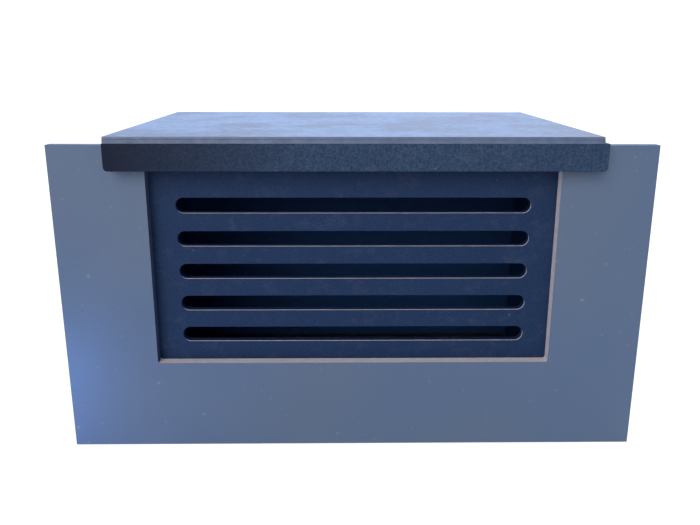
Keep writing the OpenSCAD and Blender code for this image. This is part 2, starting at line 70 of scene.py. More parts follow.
# %% [markdown]
# ## Camera
# A 36 mm wide sensor and a 37.65 mm lens give a normal, slightly wide view. The camera
# stands 0.72 m in front of the board, a little above the lid, and looks down at it.
# Its place is given from the front board, so that it follows if the board changes.

# %% Make the camera
MM = 0.001
front_low, front_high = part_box("front_board")
CAMERA_SIDE, CAMERA_AWAY, CAMERA_UP = -13.9 * MM, 716.8 * MM, 403.2 * MM
CAMERA_PITCH, CAMERA_YAW, CAMERA_ROLL = 15.49, 0.80, 0.12  # degrees down, right, anticlockwise
SENSOR, LENS = 36, 37.65

camera = bpy.data.objects.new("camera", bpy.data.cameras.new("camera"))
bpy.context.collection.objects.link(camera)
camera.data.sensor_width = SENSOR
camera.data.lens = LENS
camera.rotation_mode = "QUATERNION"
camera.location = (CAMERA_SIDE, front_low.y - CAMERA_AWAY, front_low.z + CAMERA_UP)
turned = Matrix.Rotation(math.radians(-CAMERA_YAW), 3, "Z")
tipped = Matrix.Rotation(math.radians(90 - CAMERA_PITCH), 3, "X")
rolled = Matrix.Rotation(math.radians(CAMERA_ROLL), 3, "Z")
camera.rotation_quaternion = (turned @ tipped @ rolled).to_quaternion()
bpy.context.scene.camera = camera
print("camera at", [round(v, 3) for v in camera.location])

# %% [markdown]
# ## Colours and nodes
# A shader works with linear light, and people pick colours as sRGB hex codes, so one
# function turns one into the other. A material is a tree of nodes, and one small
# function adds any of them: it sets the node's own settings and fills its sockets with
# numbers, with hex colours, or with the output of another node.

# %% Colours from hex, and one way to add a node
def linear(hex_code, alpha=1.0):
    """Turns an sRGB colour such as #5b6d90 into the linear numbers that shaders use."""
    parts = [int(hex_code[i:i + 2], 16) / 255 for i in (1, 3, 5)]
    return [c / 12.92 if c <= 0.04045 else ((c + 0.055) / 1.055) ** 2.4 for c in parts] + [alpha]


def add_node(tree, kind, inputs=None, output=0, **settings):
    """Adds a node, fills its inputs, and hands back one of its outputs."""
    node = tree.nodes.new("ShaderNode" + kind)
    for name, value in settings.items():
        setattr(node, name, value)
    for socket, value in (inputs or {}).items():
        if isinstance(value, bpy.types.NodeSocket):
            tree.links.new(value, node.inputs[socket])
        else:
            node.inputs[socket].default_value = linear(value) if isinstance(value, str) else value
    return node.outputs[output] if node.outputs else node


# %% [markdown]
# ## Light
# A wide, soft key light stands in front, to the left and above, and a weaker warm one
# behind. The sky is a dim blue all round, and much brighter straight behind the box:
# that is what the satin lid mirrors at a low angle. The camera itself sees plain white
# behind the floor. A small blue lamp near the floor cools the board's lower left corner.

# %% The sky, and what the camera sees behind the floor
SKY_HORIZON = (0.26, 0.36, 0.60, 1)
SKY_TOP = (0.24, 0.34, 0.58, 1)
SKY_BELOW = (0.25, 0.30, 0.40, 1)
SKY_BEHIND = (1.18, 1.58, 2.42, 1)

world = bpy.data.worlds.new("soft sky")
bpy.context.scene.world = world
world.use_nodes = True
sky = world.node_tree
sky.nodes.clear()
direction = add_node(sky, "TexCoord", output="Generated")
split = add_node(sky, "SeparateXYZ", {0: direction}).node
upwards = add_node(sky, "MapRange", {"Value": split.outputs["Z"], "From Min": -1.0, "From Max": 1.0})
round_sky = add_node(sky, "ValToRGB", {"Fac": upwards})
stops = round_sky.node.color_ramp.elements
stops[0].position, stops[0].color = 0.46, SKY_BELOW
stops[1].position, stops[1].color = 0.95, SKY_TOP
stops.new(0.52).color = SKY_HORIZON
behind = add_node(sky, "MapRange", {"Value": split.outputs["Y"], "From Min": 0.62, "From Max": 1.0})
whole_sky = add_node(sky, "Mix", {0: behind, 6: round_sky, 7: SKY_BEHIND}, 2, data_type="RGBA")
light_sky = add_node(sky, "Background", {"Color": whole_sky})
seen_sky = add_node(sky, "Background", {"Color": "#ffffff", "Strength": 1.05})
seen = add_node(sky, "LightPath", output="Is Camera Ray")
add_node(sky, "OutputWorld", {0: add_node(sky, "MixShader", {0: seen, 1: light_sky, 2: seen_sky})})
bpy.context.scene.view_settings.view_transform = "Standard"
print("the sky runs from", SKY_HORIZON[:3], "at the horizon to", SKY_TOP[:3], "overhead")

# %% The key light, the back light and the blue lamp
def add_light(name, kind, towards, strength, colour, **settings):
    """Adds a light that shines from the direction `towards`, seen from the box."""
    light = bpy.data.objects.new(name, bpy.data.lights.new(name, kind))
    bpy.context.collection.objects.link(light)
    light.data.energy = strength
    light.data.color = linear(colour)[:3]
    for setting, value in settings.items():
        setattr(light.data, setting, value)
    away = Vector(towards).normalized()
    light.rotation_mode = "QUATERNION"
    light.rotation_quaternion = away.to_track_quat("Z", "Y")
    light.location = away * 2.5
    return light


KEY_FROM, KEY_WIDTH = (-0.28, -0.86, 0.44), math.radians(44)  # a wide sun gives soft shadows
BACK_FROM, BACK_WIDTH = (0.35, 0.60, 0.85), math.radians(40)
LAMP_FROM, LAMP_PLACE, LAMP_SIZE = (-0.42, -0.36, 0.02), (-0.36, -0.25, 0.03), 0.12

key = add_light("key", "SUN", KEY_FROM, 3.35, "#fff4ea", angle=KEY_WIDTH)
back = add_light("back light", "SUN", BACK_FROM, 1.2, "#fff0dc", angle=BACK_WIDTH)
lamp = add_light("blue lamp", "AREA", LAMP_FROM, 0.30, "#6aa4ff", size=LAMP_SIZE)
lamp.location = LAMP_PLACE
lamp.visible_camera = False
print("key", key.data.energy, "back", back.data.energy, "lamp", lamp.data.energy)

# %% [markdown]
# ## Floor
# The floor is a wide white sheet of paper, cut into a few strips so that it isn't one
# huge face. It glows a little, as over-lit studio paper does, and most of all to the
# camera. It is staging, and no part of the box.

# %% Make the floor
def all_clear():
    """Leaves edit mode and deselects everything, because an operator acts on all that is selected."""
    if bpy.context.object and bpy.context.object.mode != "OBJECT":
        bpy.ops.object.mode_set(mode="OBJECT")
    bpy.ops.object.select_all(action="DESELECT")


FLOOR_SIZE = 24.0
all_clear()
bpy.ops.mesh.primitive_plane_add(size=FLOOR_SIZE, location=(0, 0, cad_box[0].z))
floor = bpy.context.object
floor.name = "floor"
bpy.ops.object.mode_set(mode="EDIT")
bpy.ops.mesh.subdivide(number_cuts=3)
bpy.ops.object.mode_set(mode="OBJECT")

paper = bpy.data.materials.new("white studio paper")
paper.use_nodes = True
tree = paper.node_tree
matt = tree.nodes["Principled BSDF"]
matt.inputs["Base Color"].default_value = (0.80, 0.80, 0.80, 1)
matt.inputs["Roughness"].default_value = 0.9
matt.inputs["Specular IOR Level"].default_value = 0.1
GLOW_TO_CAMERA, GLOW_TO_ALL = 0.55, 0.15
seen = add_node(tree, "LightPath", output="Is Camera Ray")
share = add_node(tree, "Math", {0: seen, 1: GLOW_TO_CAMERA, 2: GLOW_TO_ALL}, operation="MULTIPLY_ADD")
glow = add_node(tree, "Emission", {"Color": "#ffffff", "Strength": 1.3})
pale = add_node(tree, "MixShader", {0: share, 1: matt.outputs[0], 2: glow})
tree.links.new(pale, tree.nodes["Material Output"].inputs["Surface"])
floor.data.materials.append(paper)
print("floor of", FLOOR_SIZE, "m")

# %% [markdown]
# ## Finishes
# Every finish starts from what the real one is. Patterns read Object coordinates, which
# are metres in the box's own frame, so a pattern with lumps of 2 mm has a scale of
# 1 / 0.002. Noise lies mostly between 0.3 and 0.7, so a Map Range node stretches that
# part over the range that a colour or a roughness needs.

# %% Start a material
def new_finish(name, roughness, metallic=0.0, specular=0.5):
    """A material with a Principled shader and Object coordinates ready to use."""
    finish = bpy.data.materials.new(name)
    finish.use_nodes = True
    tree = finish.node_tree
    shader = tree.nodes["Principled BSDF"]
    shader.inputs["Roughness"].default_value = roughness
    shader.inputs["Metallic"].default_value = metallic
    shader.inputs["Specular IOR Level"].default_value = specular
    return finish, tree, shader, add_node(tree, "TexCoord", output="Object")


def per_mm(size_mm):
    """The scale of a pattern whose lumps are size_mm across."""
    return 1 / (size_mm * MM)


MIDDLE = {"From Min": 0.3, "From Max": 0.7}  # where a noise pattern's values mostly lie

# %% [markdown]
# ### Lacquer on MDF
# The front board is MDF sprayed with a satin lacquer. Sprayed lacquer dries with a
# very shallow orange peel, a few millimetres from lump to lump, which softens what it
# mirrors. Handling leaves faint smudges, and a few specks of dust lie in the coat.
# Specks are Voronoi cells: a dot at the middle of some of them, picked by cell colour.

# %% Make the specks and the lacquer
def specks(tree, place, spacing_mm, size_mm, share):
    """Small round specks about spacing_mm apart; share is the part of the places that have one."""
    cells = add_node(tree, "TexVoronoi", {"Vector": place, "Scale": per_mm(spacing_mm)}).node
    dot = size_mm / spacing_mm
    near = add_node(tree, "MapRange", {"Value": cells.outputs["Distance"], "From Min": dot * 0.3,
                                       "From Max": dot * 0.6, "To Min": 1, "To Max": 0})
    lot = add_node(tree, "SeparateColor", {0: cells.outputs["Color"]})
    kept = add_node(tree, "Math", {0: lot, 1: share}, operation="LESS_THAN")
    return add_node(tree, "Math", {0: near, 1: kept}, operation="MULTIPLY")


lacquer_face, tree, shader, place = new_finish("satin lacquer sprayed on MDF", 0.42, specular=0.35)
cloud = add_node(tree, "TexNoise", {"Vector": place, "Scale": per_mm(180), "Detail": 1.0})
cloud = add_node(tree, "MapRange", {"Value": cloud, **MIDDLE})
tone = add_node(tree, "Mix", {0: cloud, 6: "#49586a", 7: "#42556e"}, 2, data_type="RGBA")
fine = add_node(tree, "TexNoise", {"Vector": place, "Scale": per_mm(3.5), "Detail": 3.0})
fine = add_node(tree, "MapRange", {"Value": fine, **MIDDLE, "To Max": 0.16})
tone = add_node(tree, "Mix", {0: fine, 6: tone, 7: "#37445a"}, 2, data_type="RGBA")
for spacing, size, share in ((23, 4.0, 0.34), (9, 2.0, 0.22)):
    dust = specks(tree, place, spacing, size, share)
    tone = add_node(tree, "Mix", {0: dust, 6: tone, 7: "#5a6674"}, 2, data_type="RGBA")
tree.links.new(tone, shader.inputs["Base Color"])
smudge = add_node(tree, "TexNoise", {"Vector": place, "Scale": per_mm(42), "Detail": 3.0})
smudge = add_node(tree, "MapRange", {"Value": smudge, **MIDDLE, "To Min": 0.35, "To Max": 0.52})
tree.links.new(smudge, shader.inputs["Roughness"])
peel = add_node(tree, "TexNoise", {"Vector": place, "Scale": per_mm(4.5), "Detail": 1.5})
peel = add_node(tree, "Bump", {"Height": peel, "Strength": 0.5, "Distance": 0.05 * MM})
tree.links.new(peel, shader.inputs["Normal"])
print("made", lacquer_face.name)

# %% [markdown]
# ### Cut edges
# Where a router has cut through a face, the core shows paler and duller. The pale core
# colour is painted only on the lips that face up and to the left, towards the key light,
# so it is also a painted highlight; lips turned away keep the coat's colour. The Normal
# output of Texture Coordinate is the surface's direction in the piece's own space, so a
# dot product with one direction tells how far a spot faces that way, in every view alike.

# %% Make the two cut edges
# the way the key light comes from: a painted highlight falls on the lips that face it
LIT_LIP_FACING = (-0.55, 0, 0.83)


def make_cut_edge(name, coat, lit_core):
    finish, tree, shader, place = new_finish(name, 0.60, specular=0.2)
    facing = add_node(tree, "TexCoord", output="Normal")
    lit_lip = add_node(tree, "VectorMath", {0: facing, 1: LIT_LIP_FACING}, "Value", operation="DOT_PRODUCT")
    lit_lip = add_node(tree, "MapRange", {"Value": lit_lip, "From Min": 0.05, "From Max": 0.45})
    mottle = add_node(tree, "TexNoise", {"Vector": place, "Scale": per_mm(5), "Detail": 4.0})
    mottle = add_node(tree, "MapRange", {"Value": mottle, **MIDDLE, "To Min": 0.82, "To Max": 1.0})
    # painted highlight: the pale core colour where a lip faces the key light, a little mottled
    lit_share = add_node(tree, "Math", {0: lit_lip, 1: mottle}, operation="MULTIPLY")
    tone = add_node(tree, "Mix", {0: lit_share, 6: coat, 7: lit_core}, 2, data_type="RGBA")
    tree.links.new(tone, shader.inputs["Base Color"])
    fibre = add_node(tree, "TexNoise", {"Vector": place, "Scale": per_mm(1.5), "Detail": 3.0})
    fibre = add_node(tree, "Bump", {"Height": fibre, "Strength": 0.4, "Distance": 0.05 * MM})
    tree.links.new(fibre, shader.inputs["Normal"])
    return finish


lacquer_edge = make_cut_edge("lacquer soaked into a cut MDF edge", "#3c485c", "#c4bab8")
routed_arris = make_cut_edge("routed HPL arris, brown core showing", "#0a1c38", "#a8a09e")
print("made", lacquer_edge.name, "and", routed_arris.name)

# %% [markdown]
# ### Pebbled laminate
# Flap, nosing and carcass are faced with a navy high-pressure laminate (HPL). It is
# pressed against a pebbled plate, so the surface is full of rounded lumps about 2 mm
# wide. Their tops wear a little paler, which is the fine speckle that the eye sees,
# and a thin film of dust and a few stray dots lie on the outer faces.

# %% Make the pebbled laminate in its shades
def make_pebbled(name, dark, light, roughness, specular, pebble_mm=1.8, film_share=0.0):
    finish, tree, shader, place = new_finish(name, roughness, specular=specular)
    speckle = add_node(tree, "TexNoise", {"Vector": place, "Scale": per_mm(pebble_mm), "Detail": 3.0,
                                          "Roughness": 0.7})
    worn = add_node(tree, "MapRange", {"Value": speckle, "From Min": 0.32, "From Max": 0.72})
    tone = add_node(tree, "Mix", {0: worn, 6: dark, 7: light}, 2, data_type="RGBA")
    cloud = add_node(tree, "TexNoise", {"Vector": place, "Scale": per_mm(90), "Detail": 1.0})
    cloud = add_node(tree, "MapRange", {"Value": cloud, **MIDDLE, "To Max": 0.22})
    tone = add_node(tree, "Mix", {0: cloud, 6: tone, 7: dark}, 2, data_type="RGBA")
    if film_share:
        film = add_node(tree, "TexNoise", {"Vector": place, "Scale": per_mm(16), "Detail": 5.0,
                                           "Roughness": 0.75})
        film = add_node(tree, "MapRange", {"Value": film, "From Min": 0.52, "From Max": 0.72,
                                           "To Max": film_share})
        tone = add_node(tree, "Mix", {0: film, 6: tone, 7: "#76767e"}, 2, data_type="RGBA")
        dots = add_node(tree, "Math", {0: specks(tree, place, 11, 1.6, 0.10), 1: 0.35}, operation="MULTIPLY")
        tone = add_node(tree, "Mix", {0: dots, 6: tone, 7: "#7f858c"}, 2, data_type="RGBA")
    tree.links.new(tone, shader.inputs["Base Color"])
    duller = add_node(tree, "MapRange", {"Value": speckle, **MIDDLE, "To Min": roughness - 0.06,
                                         "To Max": roughness + 0.10})
    tree.links.new(duller, shader.inputs["Roughness"])
    pebble = add_node(tree, "TexVoronoi", {"Vector": place, "Scale": per_mm(pebble_mm), "Smoothness": 0.7},
                      "Distance", feature="SMOOTH_F1")
    pebble = add_node(tree, "Bump", {"Height": pebble, "Strength": 0.5, "Distance": 0.22 * MM})
    tree.links.new(pebble, shader.inputs["Normal"])
    return finish


pebbled_nosing = make_pebbled("pebbled HPL on the nosing", "#1b293d", "#364a61", 0.50, 0.05,
                              film_share=0.08)
pebbled_flap = make_pebbled("pebbled HPL on the flap", "#0c1d36", "#173050", 0.55, 0.12,
                            film_share=0.06)
pebbled_carcass = make_pebbled("pebbled HPL on the carcass", "#1a2739", "#2d3c52", 0.50, 0.30,
                               film_share=0.10)
# a backing laminate whose deep blue is also painted shade for the box's dark inside
painted_shade_lining = make_pebbled("smooth navy backing laminate inside", "#132f58", "#1b3f6c", 0.60, 0.10, pebble_mm=0.9)
print("made four shades of pebbled laminate")

# %% [markdown]
# ### Painted shade on the nosing
# The nosing is what hands take hold of. Its left end is darkened with painted shade,
# grading to the laminate's own colour towards the middle. The colour that the laminate
# already has is taken from its shader's socket, mixed with a dark one by the place
# along X, and put back.

# %% Paint shade on the nosing's left end
# painted shade: the nosing darkens from its left end in to this X
PAINTED_SHADE_FROM, PAINTED_SHADE_TO = -250 * MM, -40 * MM
tree = pebbled_nosing.node_tree
shader = tree.nodes["Principled BSDF"]
along = add_node(tree, "SeparateXYZ", {0: add_node(tree, "TexCoord", output="Object")}, "X")
painted_shade = add_node(tree, "MapRange", {"Value": along, "From Min": PAINTED_SHADE_FROM, "From Max": PAINTED_SHADE_TO,
                                    "To Min": 0.92, "To Max": 0.10})
unshaded_tone = shader.inputs["Base Color"].links[0].from_socket
tone = add_node(tree, "Mix", {0: painted_shade, 6: unshaded_tone, 7: "#10121e"}, 2, data_type="RGBA")
tree.links.new(tone, shader.inputs["Base Color"])
print("grime from", PAINTED_SHADE_FROM, "to", PAINTED_SHADE_TO, "m")

# %% [markdown]
# ### The lid's boards
# The lid's boards have the same laminate in a smoother press, which mirrors the sky at
# a low angle. Its top is the piece that weather and hands reach most, so a thin film of
# pale dust lies there in soft patches, duller than the laminate. The film is kept to
# faces that look up, again by the Normal output.

# %% Make the lid's laminate
lid_finish, tree, shader, place = new_finish("dusty satin HPL on the lid", 0.34, specular=0.55)
mottle = add_node(tree, "TexNoise", {"Vector": place, "Scale": per_mm(9), "Detail": 5.0, "Roughness": 0.7})
worn = add_node(tree, "MapRange", {"Value": mottle, **MIDDLE})
tone = add_node(tree, "Mix", {0: worn, 6: "#3b495e", 7: "#4d5b71"}, 2, data_type="RGBA")
facing = add_node(tree, "SeparateXYZ", {0: add_node(tree, "TexCoord", output="Normal")}, "Z")
film = add_node(tree, "MapRange", {"Value": facing, "From Min": 0.6, "From Max": 0.95})
patches = add_node(tree, "TexNoise", {"Vector": place, "Scale": per_mm(62), "Detail": 2.5})
patches = add_node(tree, "MapRange", {"Value": patches, "From Min": 0.46, "From Max": 0.66, "To Max": 0.33})
streaks = add_node(tree, "MapRange", {"Value": mottle, **MIDDLE, "To Min": 0.25, "To Max": 1.0})
for part in (patches, streaks):
    film = add_node(tree, "Math", {0: film, 1: part}, operation="MULTIPLY")
tone = add_node(tree, "Mix", {0: film, 6: tone, 7: "#b9afae"}, 2, data_type="RGBA")
tree.links.new(tone, shader.inputs["Base Color"])
gloss = add_node(tree, "MapRange", {"Value": mottle, **MIDDLE, "To Min": 0.27, "To Max": 0.40})
gloss = add_node(tree, "Math", {0: film, 1: 0.6, 2: gloss}, operation="MULTIPLY_ADD")
tree.links.new(gloss, shader.inputs["Roughness"])
ripple = add_node(tree, "TexNoise", {"Vector": place, "Scale": per_mm(5), "Detail": 3.0})
ripple = add_node(tree, "Bump", {"Height": ripple, "Strength": 0.3, "Distance": 0.03 * MM})
tree.links.new(ripple, shader.inputs["Normal"])
print("made", lid_finish.name)

# %% [markdown]
# ### Metals
# Screws and brackets are zinc plated, hinge leaves are nickel plated, the rod and pins
# are bright drawn bar, the inserts are turned brass and the lock is polished chrome.
# Drawing, rolling and brushing leave lines along the work, so each metal has a grain
# that a Mapping node stretches along one axis; plating adds faint cloudy patches.

# %% Make the metals
def make_metal(name, pale, dark, roughness, line_mm, stretch, cloud_mm=6.0):
    finish, tree, shader, place = new_finish(name, roughness, metallic=1.0)
    drawn = add_node(tree, "Mapping", {"Vector": place, "Scale": stretch})
    lines = add_node(tree, "TexNoise", {"Vector": drawn, "Scale": per_mm(line_mm), "Detail": 3.0})
    cloud = add_node(tree, "TexNoise", {"Vector": place, "Scale": per_mm(cloud_mm), "Detail": 2.0})
    cloud = add_node(tree, "MapRange", {"Value": cloud, **MIDDLE})
    tone = add_node(tree, "Mix", {0: cloud, 6: pale, 7: dark}, 2, data_type="RGBA")
    shade = add_node(tree, "MapRange", {"Value": lines, **MIDDLE, "To Max": 0.35})
    tone = add_node(tree, "Mix", {0: shade, 6: tone, 7: dark}, 2, data_type="RGBA")
    tree.links.new(tone, shader.inputs["Base Color"])
    duller = add_node(tree, "MapRange", {"Value": lines, **MIDDLE, "To Min": roughness - 0.06,
                                         "To Max": roughness + 0.12})
    tree.links.new(duller, shader.inputs["Roughness"])
    scratch = add_node(tree, "Bump", {"Height": lines, "Strength": 0.3, "Distance": 0.02 * MM})
    tree.links.new(scratch, shader.inputs["Normal"])
    return finish


zinc_screw = make_metal("zinc-plated screw steel", "#c3c2b6", "#9c9d98", 0.30, 0.5, (1, 1, 1), 2.0)
zinc_bracket = make_metal("zinc-plated pressed steel", "#b9bcbd", "#93979a", 0.34, 0.6, (0.2, 1, 1))
nickel_hinge = make_metal("nickel-plated hinge steel", "#c8c5bd", "#a5a29b", 0.24, 0.5, (0.06, 1, 1))
drawn_bar = make_metal("bright drawn steel bar", "#cdcfd1", "#a7abae", 0.22, 0.4, (0.03, 1, 1))
turned_brass = make_metal("turned brass", "#c39c52", "#96733a", 0.28, 0.4, (1, 0.1, 1))
chrome_lock = make_metal("polished chrome plate", "#dcdee0", "#bfc3c6", 0.10, 0.4, (1, 1, 1))
print("made six metals")

# %% [markdown]
# ### Rubber and nylon
# Feet, buffer, pads and mat are black EPDM rubber: very dull, with a grey bloom that
# comes out of the rubber. The rod's sockets are black glass-filled nylon with a spark
# eroded mould texture, and the flap's bushes are natural, slightly yellow nylon.

# %% Make the rubber and the nylons
def make_moulded(name, base, bloom, roughness, texture_mm, depth_mm, specular=0.4):
    finish, tree, shader, place = new_finish(name, roughness, specular=specular)
    patches = add_node(tree, "TexNoise", {"Vector": place, "Scale": per_mm(18), "Detail": 3.0})
    patches = add_node(tree, "MapRange", {"Value": patches, "From Min": 0.45, "From Max": 0.75,
                                          "To Max": 0.7})
    tone = add_node(tree, "Mix", {0: patches, 6: base, 7: bloom}, 2, data_type="RGBA")
    tree.links.new(tone, shader.inputs["Base Color"])
    texture = add_node(tree, "TexNoise", {"Vector": place, "Scale": per_mm(texture_mm), "Detail": 3.0,
                                          "Roughness": 0.65})
    duller = add_node(tree, "MapRange", {"Value": texture, **MIDDLE, "To Min": roughness - 0.08,
                                         "To Max": roughness + 0.08})
    tree.links.new(duller, shader.inputs["Roughness"])
    grain = add_node(tree, "Bump", {"Height": texture, "Strength": 0.5, "Distance": depth_mm * MM})
    tree.links.new(grain, shader.inputs["Normal"])
    return finish


rubber = make_moulded("EPDM rubber", "#17171a", "#3a3a3c", 0.80, 1.2, 0.08, 0.25)
black_nylon = make_moulded("black glass-filled nylon", "#1a1b1e", "#2c2d31", 0.52, 0.9, 0.06)
white_nylon = make_moulded("natural nylon", "#ddd8c8", "#cfc8b4", 0.42, 0.9, 0.03)
print("made", rubber.name, ",", black_nylon.name, "and", white_nylon.name)

# %% [markdown]
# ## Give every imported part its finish
# The record says which material slot each part belongs to. One table turns a slot
# into a finish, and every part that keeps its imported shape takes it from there.

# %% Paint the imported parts
FINISH_OF_SLOT = {
    "front_lacquer": lacquer_face, "navy_texture_board": pebbled_carcass, "lid_laminate": lid_finish,
    "flap_board": pebbled_flap, "zinc_screw": zinc_screw, "zinc_bracket": zinc_bracket,
    "hinge_steel": nickel_hinge, "bright_steel": drawn_bar, "black_rubber": rubber,
    "dark_nylon": black_nylon, "white_nylon": white_nylon, "insert_brass": turned_brass,
    "lock_chrome": chrome_lock}
slot_of_node = {part["node"]: part["material_slot"] for part in frame["record"]["subparts"]}
bodies = frame["record"]["behaviour"]["bodies"]
body_of_node = {node: body for body, nodes in bodies.items() for node in nodes}
for name, packed in frame["nodes"].items():
    packed.data.materials.clear()
    packed.data.materials.append(FINISH_OF_SLOT[slot_of_node[name]])
print("painted", len(frame["nodes"]), "packed parts")

# %% [markdown]
# ## Board with eased edges
# No real board has knife edges: a maker breaks them with sandpaper or a small router
# bit, and the thin bright line along such an edge is much of what makes a board look
# real. A block is a cube added at its size and place; a Bevel modifier, applied at
# once, rounds its edges; a Weighted Normal modifier then keeps the flat faces flat, so
# that only the rounding itself is shaded smooth.

# %% Blocks, edge easing, and handing a piece over to the frame
def block(name, low, high):
    """A cube that fills the space between two corners, with its place in its mesh."""
    all_clear()
    low, high = Vector(low), Vector(high)
    bpy.ops.mesh.primitive_cube_add(size=1, location=(low + high) / 2, scale=high - low)
    piece = bpy.context.object
    piece.name = name
    bpy.ops.object.transform_apply(location=True, rotation=True, scale=True)
    return piece


SMOOTH_UNDER = math.radians(30)  # faces that meet at less than this are shaded as one


def ease_edges(piece, radius_mm, segments=3, sharper_than=35):
    """Rounds every edge that turns by more than the angle, and shades the rounding smooth."""
    all_clear()
    piece.select_set(True)
    bpy.context.view_layer.objects.active = piece
    bevel = piece.modifiers.new("eased", "BEVEL")
    bevel.width = radius_mm * MM
    bevel.segments = segments
    bevel.limit_method = "ANGLE"
    bevel.angle_limit = math.radians(sharper_than)
    bpy.ops.object.modifier_apply(modifier=bevel.name)
    bpy.ops.object.shade_smooth_by_angle(angle=SMOOTH_UNDER)
    flat = piece.modifiers.new("flat faces", "WEIGHTED_NORMAL")
    flat.weight = 100
    flat.keep_sharp = True
    bpy.ops.object.modifier_apply(modifier=flat.name)


def stand_for(piece, node, finish=None):
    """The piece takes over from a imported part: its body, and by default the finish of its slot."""
    if not piece.data.materials:
        piece.data.materials.append(finish or FINISH_OF_SLOT[slot_of_node[node]])
    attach(piece, body_of_node[node])
    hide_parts(node)
    print("made", piece.name, "with", len(piece.data.polygons), "faces for", node)


# %% Selecting faces and cutting planes in edit mode
def edit(piece):
    """Enters edit mode on one piece alone, with nothing selected."""
    all_clear()
    piece.select_set(True)
    bpy.context.view_layer.objects.active = piece
    bpy.ops.object.mode_set(mode="EDIT")
    bpy.ops.mesh.select_mode(type="FACE")
    bpy.ops.mesh.select_all(action="DESELECT")


def pick_faces(piece, wanted):
    """Selects the faces that the test `wanted` accepts, by their centre and normal."""
    shape = bmesh.from_edit_mesh(piece.data)
    count = 0
    for face in shape.faces:
        face.select_set(bool(wanted(face.calc_center_median(), face.normal)))
        count += face.select
    bmesh.update_edit_mesh(piece.data)
    return count


def slice_at(point, normal):
    """Cuts the whole mesh along a plane without removing anything."""
    bpy.ops.mesh.select_all(action="SELECT")
    bpy.ops.mesh.bisect(plane_co=point, plane_no=normal)
    bpy.ops.mesh.select_all(action="DESELECT")


def cut_away(piece, cutter):
    """Takes the cutter's shape out of the piece with a Boolean, and removes the cutter."""
    all_clear()
    piece.select_set(True)
    bpy.context.view_layer.objects.active = piece
    cut = piece.modifiers.new("cut", "BOOLEAN")
    cut.operation = "DIFFERENCE"
    cut.object = cutter
    cut.solver = "EXACT"
    bpy.ops.object.modifier_apply(modifier=cut.name)
    bpy.data.objects.remove(cutter)


# %% [markdown]
# ## Front board
# The board is sliced at the four sides of its window, the middle of both faces is
# deleted, and the two holes are bridged: that makes the reveal, the board's cut edge
# inside the window. The reveal's upright corner edges are then rounded, as a router
# leaves them. Four blind holes in the wings' backs take the threaded inserts.

# %% Cut the window
window = next(o for o in frame["record"]["physics"]["openings"] if o["name"] == "window")
WINDOW_MARGIN, WINDOW_SLACK = 1.5 * MM, 1.0 * MM  # the stated window is this much smaller, in X and in Z
stated_low, stated_high = window["box_m"]
window_left, window_right = stated_low[0] - WINDOW_MARGIN, stated_high[0] + WINDOW_MARGIN
window_low, window_top = stated_low[2] - WINDOW_SLACK, stated_high[2] + WINDOW_SLACK

front_board = block("front_board_lacquered", front_low, front_high)
edit(front_board)
for x in (window_left, window_right):
    slice_at((x, 0, 0), (1, 0, 0))
for z in (window_low, window_top):
    slice_at((0, 0, z), (0, 0, 1))


def in_window(c, n):
    return abs(n.y) > 0.9 and window_left < c.x < window_right and window_low < c.z < window_top


print("faces in the window:", pick_faces(front_board, in_window))
bpy.ops.mesh.delete(type="FACE")
bpy.ops.mesh.select_mode(type="EDGE")
bpy.ops.mesh.select_non_manifold()
bpy.ops.mesh.bridge_edge_loops()

# %% Round the window's corners
WINDOW_ROUND = 2.5 * MM
shape = bmesh.from_edit_mesh(front_board.data)
for edge in shape.edges:
    a, b = (v.co for v in edge.verts)
    corner = min(abs(a.x - window_left), abs(a.x - window_right)) < 1e-5
    corner = corner and min(abs(a.z - window_low), abs(a.z - window_top)) < 1e-5
    edge.select_set(corner and abs(a.y - b.y) > 0.9 * (front_high.y - front_low.y))
bmesh.update_edit_mesh(front_board.data)
bpy.ops.mesh.bevel(offset=WINDOW_ROUND, segments=6, affect="EDGES")
bpy.ops.mesh.select_all(action="SELECT")
bpy.ops.mesh.dissolve_limited(angle_limit=math.radians(1))
bpy.ops.object.mode_set(mode="OBJECT")
window_size = round((window_right - window_left) / MM), round((window_top - window_low) / MM)
print("the window is", window_size[0], "by", window_size[1], "mm")

# %% Drill for the inserts and ease the edges
def post(name, centre, radius, length, sides=48):
    """A cylinder that runs from front to back, with its place in its mesh."""
    all_clear()
    bpy.ops.mesh.primitive_cylinder_add(vertices=sides, radius=radius, depth=length, location=centre,
                                        rotation=(math.pi / 2, 0, 0))
    made = bpy.context.object
    made.name = name
    bpy.ops.object.transform_apply(location=True, rotation=True, scale=True)
    return made


insert_low, insert_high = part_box("threaded_inserts")
INSERT_RADIUS, INSERT_ROOM, DRILL_PAST = 4.0 * MM, 0.5 * MM, 2 * MM
insert_depth = insert_high.y - insert_low.y + INSERT_ROOM
for x in (insert_low.x + INSERT_RADIUS, insert_high.x - INSERT_RADIUS):
    for z in (insert_low.z + INSERT_RADIUS, insert_high.z - INSERT_RADIUS):
        middle = (x, front_high.y - insert_depth / 2 + DRILL_PAST / 2, z)
        cut_away(front_board, post("drill", middle, INSERT_RADIUS, insert_depth + DRILL_PAST))
BOARD_EASE = 0.7
ease_edges(front_board, BOARD_EASE)

# %% Give the reveal the finish of a cut edge, with its painted highlight
front_board.data.materials.append(lacquer_face)
front_board.data.materials.append(lacquer_edge)
for face in front_board.data.polygons:
    c, n = face.center, face.normal
    inside = window_left - MM < c.x < window_right + MM and window_low - MM < c.z < window_top + MM
    face.material_index = int(inside and front_low.y + 0.2 * MM < c.y < front_high.y - 0.1 * MM)
stand_for(front_board, "front_board")
